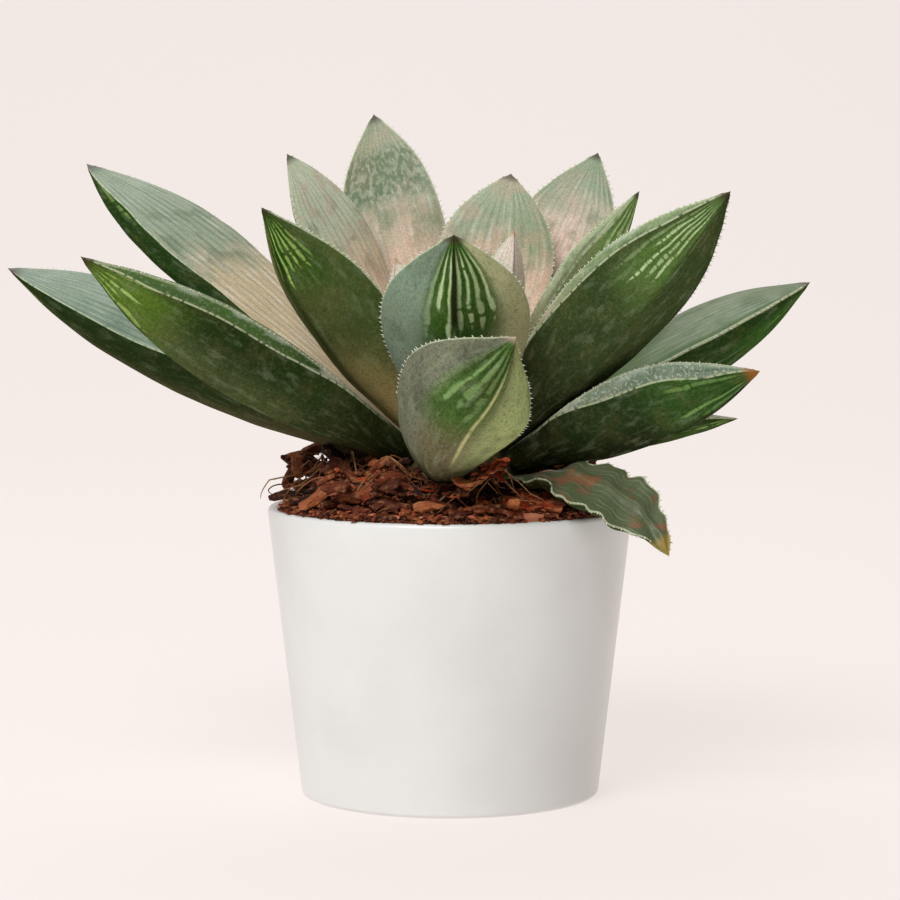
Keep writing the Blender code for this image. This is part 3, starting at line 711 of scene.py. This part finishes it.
def build_leaf(shape, number):
    rng = random.Random(SEED + number)
    vertices, faces, place, edge, frames = leaf_surface(shape)
    vertices = undulate(vertices, shape)
    spikes, spike_faces, spike_places = leaf_teeth(shape, frames, rng)
    start = len(vertices)
    faces += [tuple(start + i for i in face) for face in spike_faces]
    vertices = np.clip(np.concatenate([vertices, spikes]), *np.array(cad_box))
    mesh = new_mesh("fine_" + shape.name, vertices, faces)
    add_values(mesh, "place", np.concatenate([place, spike_places]))
    add_values(mesh, "edge", np.concatenate([edge, np.zeros(len(spikes))]))
    add_values(mesh, "tooth", np.concatenate([np.zeros(start), np.ones(len(spikes))]))
    add_piece("fine_" + shape.name, mesh, leaf_material(shape, number),
              look_of(shape).slot, "leaf_" + shape.name)


# Pots
POT_TURNS = 160


def arc(centre, radius, start, end, steps):
    """Points (r, z) on a round edge, from the start angle to the end angle in degrees."""
    angles = [math.radians(start + (end - start) * i / steps) for i in range(steps + 1)]
    return [(centre[0] + radius * math.cos(a), centre[1] + radius * math.sin(a)) for a in angles]


def turned(name, profile, closed):
    """A solid of revolution. An open profile starts and ends on the axis."""
    turns = np.arange(POT_TURNS) * math.tau / POT_TURNS
    r = np.array([p[0] for p in profile])
    z = np.array([p[1] for p in profile])
    vertices = np.stack([np.outer(np.cos(turns), r), np.outer(np.sin(turns), r),
                         np.repeat(z[None], POT_TURNS, 0)], -1).reshape(-1, 3)
    mesh = new_mesh(name, vertices, grid_faces(POT_TURNS, len(profile), ring=True, loop=closed))
    weld(mesh)
    mesh.set_sharp_from_angle(angle=math.radians(40))
    return mesh


def weld(mesh):
    work = bmesh.new()
    work.from_mesh(mesh)
    bmesh.ops.remove_doubles(work, verts=work.verts, dist=1e-6)
    bmesh.ops.dissolve_degenerate(work, edges=work.edges, dist=1e-7)
    bmesh.ops.recalc_face_normals(work, faces=work.faces)
    work.to_mesh(mesh)
    work.free()


def pot_inner_radius(z):
    return POT_BASE_RADIUS + (POT_RIM_RADIUS - POT_BASE_RADIUS) * z / POT_HEIGHT - POT_WALL


def inner_outer_radius(z):
    return pot_inner_radius(z) - INNER_PLAY


def wall(start, end, steps=12):
    """Points on a straight wall, so that its shading stays even."""
    return [(start[0] + (end[0] - start[0]) * i / steps, start[1] + (end[1] - start[1]) * i / steps)
            for i in range(1, steps)]


def rolled_rim(out, wall_width, top):
    """The rounded top of a pot's wall: the inner edge, then the outer one."""
    return (arc((out - wall_width + POT_EDGE, top - POT_EDGE), POT_EDGE, 180, 90, 6),
            arc((out - POT_EDGE, top - POT_EDGE), POT_EDGE, 90, 0, 6))


def white_pot():
    floor = [(0, POT_FLOOR), (pot_inner_radius(POT_FLOOR), POT_FLOOR)]
    lip, rim = rolled_rim(POT_RIM_RADIUS, POT_WALL, POT_HEIGHT)
    foot = arc((POT_BASE_RADIUS - POT_EDGE, POT_EDGE), POT_EDGE, 0, -90, 6)
    profile = floor + wall(floor[-1], lip[0]) + lip + rim + wall(rim[-1], foot[0]) + foot + [(0, 0)]
    m = Shader("white_glaze", Specular_IOR_Level=0.5, Coat_Weight=0.25, Coat_Roughness=0.25)
    cloud = m.noise(0.018, 3.0)
    grain = m.noise(0.0006, 2.0)
    colour = m.blend(m.step(cloud, 0.35, 0.7), (234, 235, 232), (228, 228, 225))
    material = m.finish(colour, m.step(grain, 0.3, 0.7, 0.3, 0.38), cloud * 1.5 + grain * 0.15, 0.0001)
    add_piece("white_pot_glazed", turned("white_pot_glazed", profile, False), material,
              "white_pot", "white_pot")


def clay_pot():
    base = POT_FLOOR + GAP
    top = POT_HEIGHT + INNER_PROUD
    floor = base + INNER_FLOOR
    inside = [(DRAIN_RADIUS, floor), (inner_outer_radius(floor) - INNER_WALL, floor)]
    lip, rim = rolled_rim(inner_outer_radius(top), INNER_WALL, top)
    outside = [(inner_outer_radius(base), base), (DRAIN_RADIUS, base)]
    profile = inside + wall(inside[-1], lip[0]) + lip + rim + wall(rim[-1], outside[0]) + outside
    m = Shader("fired_clay", Specular_IOR_Level=0.25)
    cloud = m.noise(0.006, 4.0)
    grain = m.noise(0.00035, 2.0)
    paint = Paint(m, (196, 104, 72))
    paint.over(m.step(cloud, 0.35, 0.68), (222, 142, 108))
    paint.patches(m.noise(0.0025, 3.0), 0.55, 0.72, 0.5, (236, 190, 164))
    paint.patches(grain, 0.6, 0.74, 0.45, (150, 78, 54))
    material = m.finish(paint.colour, m.step(grain, 0.3, 0.7, 0.75, 0.92), grain * 0.7 + cloud * 0.8,
                        0.00012)
    add_piece("clay_pot", turned("clay_pot", profile, True), material, "terracotta", "inner_pot")


# Husk mulch: a bed that follows the CAD node from above, with chips, crumbs and fibres on it
SOIL_WALL_Z = 0.044
MULCH_MIDDLE_Z = 0.056
MULCH_WALL_Z = 0.0497
MOUND_POWER = 1.4
BED_RINGS = 60
BED_TURNS = 300
BED_LUMP = 0.0005
LUMP_PITCH = 0.0011
FINE_LUMP_PITCH = 0.0004
BED_SUNK = 0.0003
BED_OVER_MOUND = 0.0012
BED_UNDER_MOUND = 0.0005
BED_OVER_SOIL = 0.0002
BED_INSIDE = 0.0118
BED_OUTSIDE = 0.0268
LOOK_DOWN_FROM = 0.064
CLEAR = 0.00025
FAR = 0.0055
SLACK = 0.0001

# Chips and crumbs: counts, lengths, and the rings and patches that they lie in
CHIPS = 420
CHIP_LENGTH = (0.0018, 0.0068)
CHIP_GRID = (8, 5)
CRUMBS = 2600
CRUMB_LENGTH = (0.0005, 0.0019)
CRUMB_GRID = (5, 3)
FRONT = (math.radians(200), math.radians(330))
ON_RIM = (0.0262, 0.0292)
RIM_CHIPS = 60
RIM_CRUMBS = 240
FRONT_RIM_CHIPS = 120
FRONT_RIM_CRUMBS = 700
RIM_LENGTH = (0.0014, 0.004)
ON_LEDGE = (0.0283, 0.0296)
LEDGE_CRUMBS = 350
LEDGE_LENGTH = (0.0009, 0.0022)
LEDGE_GRID = (6, 3)
# Pale chips in one patch at the front right: a painted pool of light on the mulch there.
LIT_PATCH_CHIPS = 60
LIT_PATCH = (0.019, -0.015, 0.0045)
RED_PATCHES = ((0.011, -0.0225, 0.003, 150), (0.018, -0.019, 0.0028, 150),
               (-0.002, -0.024, 0.004, 70), (-0.017, -0.02, 0.003, 40))
RED_LENGTH = (0.0006, 0.003)

# Coir fibres. On the left they may hang out past the white rim. The shares are how fast they come
# down over the clay and beyond the rim.
FIBRES = 260
FIBRE_STEP = 0.0009
FIBRE_STEPS = (7, 20)
FIBRE_RADIUS = (0.00005, 0.00015)
FIBRE_SPRING = 0.0028
FIBRE_ROOT = 0.0005
FIBRE_CLIMB = 0.0008
FIBRE_CLEAR = 0.0002
FIBRE_ABOVE = 0.0001
FIBRE_SHARES = (0.2, 0.35)
RIM_STOP = 0.0005
HAIRY_LEFT_OF = -0.024
HAIRY_REACH = 0.0035


class Batch:
    """Gathers many small shapes into one mesh, each with a random tone for its colour."""

    def __init__(self):
        self.vertices = []
        self.faces = []
        self.tones = []
        self.places = []

    def add(self, vertices, faces, tone, places):
        start = len(self.vertices)
        self.vertices += [tuple(v) for v in vertices]
        self.faces += [tuple(start + i for i in face) for face in faces]
        self.tones += [tone] * len(vertices)
        self.places += [tuple(p) for p in places]

    def piece(self, name, material):
        mesh = new_mesh(name, self.vertices, self.faces)
        add_values(mesh, "tone", self.tones)
        add_values(mesh, "grain", self.places)
        mesh.set_sharp_from_angle(angle=math.radians(50))
        add_piece(name, mesh, material, "husk")


def bed_radius():
    return inner_outer_radius(POT_HEIGHT) - INNER_WALL - GAP


def look_down(tree, x, y):
    """Where a ray from above meets a surface, and the normal there, or None twice."""
    return tree.ray_cast(Vector((x, y, LOOK_DOWN_FROM)), Vector((0, 0, -1)))[:2]


def mulch_bed(tree):
    """A closed ring whose top lies on the CAD mulch as seen from above, with fine lumps on it."""
    inside = CROWN_RADIUS + CROWN_X + GAP
    low = SOIL_WALL_Z + BED_OVER_SOIL
    rows = []
    for turn in np.arange(BED_TURNS) * math.tau / BED_TURNS:
        row = []
        for radius in np.linspace(inside, bed_radius(), BED_RINGS):
            x = radius * math.cos(turn)
            y = radius * math.sin(turn)
            share = (radius - CROWN_RADIUS) / (bed_radius() - CROWN_RADIUS)
            mound = MULCH_MIDDLE_Z + (MULCH_WALL_Z - MULCH_MIDDLE_Z) * share ** MOUND_POWER
            hit = look_down(tree, x, y)[0]
            height = min(hit.z, mound + BED_OVER_MOUND) if hit else mound - BED_UNDER_MOUND
            coarse = noise.noise(Vector((x, y, 0)) / LUMP_PITCH)
            lump = coarse + 0.5 * noise.noise(Vector((x, y, 1)) / FINE_LUMP_PITCH)
            row.append((x, y, height - BED_SUNK + BED_LUMP * lump))
        rows += [row[0][:2] + (low,)] + row + [row[-1][:2] + (low,)]
    m = Shader("husk_bed", Specular_IOR_Level=0.2)
    strands = m.noise(0.0005, 4.0)
    paint = Paint(m, (30, 15, 11))
    paint.over(m.step(m.noise(0.0022, 3.0), 0.38, 0.66), (86, 43, 27))
    paint.patches(strands, 0.6, 0.42, 0.75, (20, 11, 8))
    material = m.finish(paint.colour, m.step(strands, 0.3, 0.7, 0.95, 0.8), strands, 0.0004)
    mesh = new_mesh("mulch_bed", rows, grid_faces(BED_TURNS, BED_RINGS + 2, ring=True))
    add_piece("mulch_bed", mesh, material, "husk", "mulch")


def tree_of(names):
    vertices = []
    polygons = []
    for name in names:
        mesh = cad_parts[name].data
        start = len(vertices)
        vertices += [v.co.copy() for v in mesh.vertices]
        polygons += [[start + i for i in p.vertices] for p in mesh.polygons]
    return BVHTree.FromPolygons(vertices, polygons)


def is_clear(tree, point, margin=CLEAR):
    """True where a point is outside the leaves and the stem by the margin. The side isn't tested
    far from them, because beyond an edge the nearest face can look away."""
    near, normal, _, distance = tree.find_nearest(point)
    return distance > FAR or distance > margin and (point - near).dot(normal) > 0


def flake(rng, size, sides, rings):
    """One irregular chip about its middle, longest along X, as (vertices, faces)."""
    length, width, thick = size
    bow = rng.uniform(-0.12, 0.12)
    vertices = []
    for i in range(rings):
        share = i / (rings - 1)
        end = 1 - rng.uniform(0.1, 0.45) * abs(2 * share - 1) ** 2
        for j in range(sides):
            t = math.tau * (j + 0.5) / sides
            c = math.copysign(abs(math.cos(t)) ** 0.6, math.cos(t))
            d = math.copysign(abs(math.sin(t)) ** 0.6, math.sin(t))
            rough = rng.uniform(0.82, 1.15)
            x = (share - 0.5) * length + rng.uniform(-0.07, 0.07) * length
            vertices.append(Vector((x, c * width / 2 * end * rough,
                                    d * thick / 2 * end * rough + bow * length * (2 * share - 1) ** 2)))
    return vertices, capped_faces(rings, sides)


def scatter(batch, rng, bed, plant, layers):
    """Lays flakes on the mulch, each tilted with it and clear of the leaves."""
    for count, lengths, grid, tones, raise_by, zone in layers:
        laid = 0
        tries = 0
        while laid < count and tries < 20 * count:
            tries += 1
            x, y = zone(rng)
            hit, normal = look_down(bed, x, y)
            if hit is None:
                continue
            length = lengths[0] + (lengths[1] - lengths[0]) * rng.random() ** 1.6
            size = (length, length * rng.uniform(0.28, 0.62), length * rng.uniform(0.14, 0.34))
            vertices, faces = flake(rng, size, *grid)
            lean = Vector((rng.gauss(0, 0.35), rng.gauss(0, 0.35), 1)) + normal * 0.8
            turn = lean.to_track_quat("Z", "Y").to_matrix().to_4x4()
            spin = Matrix.Rotation(rng.uniform(0, math.tau), 4, "Z")
            centre = hit + Vector((0, 0, raise_by * size[2]))
            moved = [(Matrix.Translation(centre) @ turn @ spin) @ v for v in vertices]
            if not all(is_clear(plant, v) for v in moved[::3]) or not off_the_clay(moved):
                continue
            batch.add(moved, faces, rng.uniform(*tones), vertices)
            laid += 1


def off_the_clay(points):
    """True where all points are within the clay rim, above it, or outside it on the white rim."""
    within = bed_radius() + SLACK
    top = POT_HEIGHT + INNER_PROUD - 2 * SLACK
    beyond = inner_outer_radius(POT_HEIGHT) + SLACK
    return all(math.hypot(p.x, p.y) < within or p.z > top
               or math.hypot(p.x, p.y) > beyond and p.z > POT_HEIGHT - SLACK for p in points)


def ring_zone(inside, outside, start=0, end=math.tau):
    """Picks places evenly over a ring round the pot's axis, or over a part of it."""
    def pick(rng):
        radius = math.sqrt(rng.uniform(inside ** 2, outside ** 2))
        turn = rng.uniform(start, end)
        return radius * math.cos(turn), radius * math.sin(turn)
    return pick


def patch_zone(x, y, spread):
    """Picks places close round one place."""
    return lambda rng: (rng.gauss(x, spread), rng.gauss(y, spread))


def tube(points, radius, sides=5):
    """A thin closed tube along points, tapered at both ends."""
    vertices = []
    n = len(points)
    for i, point in enumerate(points):
        ahead = points[min(n - 1, i + 1)] - points[max(0, i - 1)]
        across = ahead.cross(Vector((0, 0, 1))).normalized()
        up = across.cross(ahead).normalized()
        share = i / (n - 1)
        size = radius * (0.35 + 0.65 * math.sin(math.pi * min(1, 0.12 + 0.88 * share)) ** 0.5)
        for j in range(sides):
            t = math.tau * j / sides
            vertices.append(point + size * (math.cos(t) * across + math.sin(t) * up))
    return vertices, capped_faces(n, sides)


def fibre_path(rng, bed, tree):
    """A coir fibre's points: it wanders over the mulch, and may spring up or over the rim."""
    x, y = ring_zone(BED_INSIDE + 0.001, BED_OUTSIDE)(rng)
    heading = rng.uniform(0, math.tau)
    turning = rng.gauss(0, 0.18)
    spring = rng.uniform(0.0, FIBRE_SPRING) if rng.random() < 0.6 else GAP
    count = rng.randint(*FIBRE_STEPS)
    points = []
    height = None
    for i in range(count + 1):
        share = i / count
        hit = look_down(bed, x, y)[0]
        radius = math.hypot(x, y)
        if radius > POT_RIM_RADIUS + (-RIM_STOP if x > HAIRY_LEFT_OF else HAIRY_REACH):
            return None
        if hit is not None and radius < BED_OUTSIDE:
            ground = hit.z
        elif height is None:
            return None
        else:
            over_clay, beyond_rim = FIBRE_SHARES
            ground = max(POT_HEIGHT + INNER_PROUD + GAP, height - over_clay * FIBRE_STEP)
            if radius > POT_RIM_RADIUS + GAP:
                ground = height - beyond_rim * (radius - BED_OUTSIDE)
        if height is None:
            height = ground
        height += max(-FIBRE_CLIMB, min(FIBRE_CLIMB, ground - height))
        lifted = spring * math.sin(math.pi * share) ** 0.8
        sunk = FIBRE_ROOT * (1 - min(1, 4 * share))
        point = Vector((x, y, height + lifted - sunk + FIBRE_ABOVE))
        if not is_clear(tree, point, FIBRE_CLEAR):
            return None
        points.append(point)
        heading += turning + rng.gauss(0, 0.1)
        x += FIBRE_STEP * math.cos(heading)
        y += FIBRE_STEP * math.sin(heading)
    return points


def husk_material(name, dark, middle, light):
    m = Shader(name, Specular_IOR_Level=0.2)
    tone = m.attribute("tone", "Fac")
    where = m.attribute("grain")
    stretched = m.node("VectorMath", inputs={0: where, 1: (0.16, 1, 1)}, operation="MULTIPLY")
    strands = m.noise(0.00022, 3.0, stretched)
    paint = Paint(m, dark)
    paint.over(m.step(tone, 0.0, 0.5), middle)
    paint.over(m.step(tone, 0.5, 1.0), light)
    paint.patches(strands, 0.62, 0.35, 0.55, (38, 18, 12))
    paint.patches(m.noise(0.0012, 2.0, where), 0.5, 0.75, 0.35, (206, 150, 104))
    return m.finish(paint.colour, m.step(strands, 0.3, 0.7, 0.95, 0.75), strands, 0.00012)


def mulch():
    """The bed, then three batches of flakes and one of fibres, all from one row of random draws."""
    rng = random.Random(SEED)
    mulch_bed(tree_of(["mulch"]))
    bed = tree_of(["mulch", "inner_pot"])
    ledge = tree_of(["white_pot"])
    plant = tree_of([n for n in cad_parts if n.startswith("leaf_") or n == "stem"])
    ring = ring_zone(BED_INSIDE, BED_OUTSIDE)
    rim = ring_zone(*ON_RIM)
    front_rim = ring_zone(*ON_RIM, *FRONT)
    husk = husk_material("husk_chips", (44, 20, 14), (124, 60, 36), (210, 124, 74))
    batch = Batch()
    scatter(batch, rng, bed, plant, [
        (CHIPS, CHIP_LENGTH, CHIP_GRID, (0.0, 0.85), 0.35, ring),
        (RIM_CHIPS, CHIP_LENGTH, CHIP_GRID, (0.0, 0.85), 1.0, rim),
        (FRONT_RIM_CHIPS, RIM_LENGTH, CHIP_GRID, (0.0, 0.85), 1.0, front_rim),
        # Pale chips in one patch: painted light at the front right.
        (LIT_PATCH_CHIPS, CHIP_LENGTH, CHIP_GRID, (0.6, 1.0), 0.6, patch_zone(*LIT_PATCH))])
    batch.piece("husk_chips", husk)
    batch = Batch()
    scatter(batch, rng, bed, plant, [
        (CRUMBS, CRUMB_LENGTH, CRUMB_GRID, (0.0, 0.7), 0.5, ring),
        (RIM_CRUMBS, CRUMB_LENGTH, CRUMB_GRID, (0.0, 0.7), 0.9, rim),
        (FRONT_RIM_CRUMBS, CRUMB_LENGTH, CRUMB_GRID, (0.0, 0.9), 0.9, front_rim)])
    scatter(batch, rng, ledge, plant, [
        (LEDGE_CRUMBS, LEDGE_LENGTH, LEDGE_GRID, (0.0, 0.8), height, ring_zone(*ON_LEDGE, *FRONT))
        for height in (0.5, 1.8)])
    batch.piece("husk_crumbs", husk)
    batch = Batch()
    scatter(batch, rng, bed, plant, [
        (count, RED_LENGTH, CRUMB_GRID, (0.1, 1.0), 0.7, patch_zone(x, y, spread))
        for x, y, spread, count in RED_PATCHES])
    batch.piece("red_husk_crumbs", husk_material("red_husk", (140, 44, 22), (190, 70, 36), (226, 112, 66)))
    batch = Batch()
    laid = 0
    for _ in range(40 * FIBRES):
        if laid == FIBRES:
            break
        points = fibre_path(rng, bed, plant)
        if points:
            vertices, faces = tube(points, rng.uniform(*FIBRE_RADIUS))
            batch.add(vertices, faces, rng.random(), vertices)
            laid += 1
    batch.piece("coir_fibres", husk_material("coir", (104, 56, 34), (160, 98, 60), (214, 170, 122)))


def repaint(node, material):
    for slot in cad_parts[node].material_slots:
        slot.material = material


def frame_materials():
    """Finishes of the CAD nodes that stay."""
    m = Shader("potting_soil", Specular_IOR_Level=0.15)
    crumbs = m.noise(0.0008, 4.0)
    colour = m.blend(m.step(crumbs, 0.4, 0.66), (30, 20, 14), (74, 50, 34))
    repaint("soil", m.finish(colour, m.step(crumbs, 0.3, 0.7, 1.0, 0.85), crumbs, 0.0006))

    m = Shader("crown", Subsurface_Weight=0.1, Subsurface_Scale=0.001, Specular_IOR_Level=0.35)
    cloud = m.noise(0.002, 3.0)
    paint = Paint(m, (64, 58, 36))
    paint.over(m.step(m.parts(m.where)[2], CROWN_Z - 0.002, CROWN_Z + CROWN_RADIUS), (150, 146, 96))
    paint.patches(cloud, 0.62, 0.42, 0.65, (70, 62, 38))
    repaint("stem", m.finish(paint.colour, m.step(cloud, 0.3, 0.7, 0.6, 0.45), cloud, 0.0003))


# Camera, lights and floor
LENS = 135
CLIP_START = 0.01
CAMERA_DISTANCE = 0.567
CAMERA_RISE = 5
AIM = (0, 0, 0.0579)
LAMP_SIZE = 0.6
KEY_PLACE = (-0.26, -0.68, 0.84)
KEY_POWER = 8.2
BACK_PLACE = (-0.1, 0.5, 0.8)
BACK_POWER = 2.0
WORLD_COLOUR = (0.95, 0.97, 1.0, 1)
WORLD_SPAN = (-0.6, 0.8)
WORLD_LEFT_RIGHT = (0.42, 0.02)
FLOOR_NEAR = -1.6
WALL_AT = 1.0
WALL_HEIGHT = 1.6
WALL_BEND = 0.5
FLOOR_HALF_WIDTH = 2.2
BACKDROP_GLOW = 0.745


def aimed(item, place):
    item.location = place
    item.rotation_euler = (Vector(AIM) - Vector(place)).to_track_quat("-Z", "Y").to_euler()
    bpy.context.scene.collection.objects.link(item)


def camera():
    data = bpy.data.cameras.new("camera")
    data.lens = LENS
    data.clip_start = CLIP_START
    item = bpy.data.objects.new("camera", data)
    rise = math.radians(CAMERA_RISE)
    away = Vector((0, -math.cos(rise), math.sin(rise))) * CAMERA_DISTANCE
    aimed(item, Vector(AIM) + away)
    bpy.context.scene.camera = item


def lamp(name, place, power):
    data = bpy.data.lights.new(name, "AREA")
    data.shape = "DISK"
    data.size = LAMP_SIZE
    data.energy = power
    aimed(bpy.data.objects.new(name, data), place)


def lights():
    """Two soft lamps, and surroundings that are brighter on the left than on the right."""
    lamp("key", KEY_PLACE, KEY_POWER)
    lamp("back", BACK_PLACE, BACK_POWER)
    world = bpy.data.worlds.new("studio")
    world.use_nodes = True
    sky = Nodes(world.node_tree)
    surroundings = sky.tree.nodes["Background"].inputs
    sideways = sky.parts(sky.node("TexCoord", "Generated"))[0]
    sky.plug(surroundings["Color"], WORLD_COLOUR)
    sky.plug(surroundings["Strength"], sky.step(sideways, *WORLD_SPAN, *WORLD_LEFT_RIGHT))
    bpy.context.scene.world = world


def backdrop():
    """A pale floor that sweeps up into a wall behind the object."""
    bend = WALL_AT - WALL_BEND
    line = [(FLOOR_NEAR, 0.0), (bend, 0.0)]
    line += [(bend + WALL_BEND * math.sin(a), WALL_BEND - WALL_BEND * math.cos(a))
             for a in np.radians(np.linspace(0, 90, 25))[1:]]
    line.append((WALL_AT, WALL_HEIGHT))
    vertices = [(x, y, z) for y, z in line for x in (-FLOOR_HALF_WIDTH, FLOOR_HALF_WIDTH)]
    faces = [(2 * i, 2 * i + 1, 2 * i + 3, 2 * i + 2) for i in range(len(line) - 1)]
    item = bpy.data.objects.new("backdrop", new_mesh("backdrop", vertices, faces))
    m = Shader("backdrop", Specular_IOR_Level=0.1, Roughness=0.9, Emission_Color=rgb(246, 237, 232),
               Emission_Strength=BACKDROP_GLOW)
    m.material.cycles.emission_sampling = "NONE"
    item.data.materials.append(m.finish(m.blend(m.noise(0.4, 1.0), (139, 134, 132), (137, 132, 130))))
    bpy.context.scene.collection.objects.link(item)


bpy.context.scene.view_settings.view_transform = "Standard"
noise.seed_set(SEED)
camera()
lights()
backdrop()
white_pot()
clay_pot()
frame_materials()
for number, shape in enumerate(LEAVES):
    build_leaf(shape, number)
mulch()
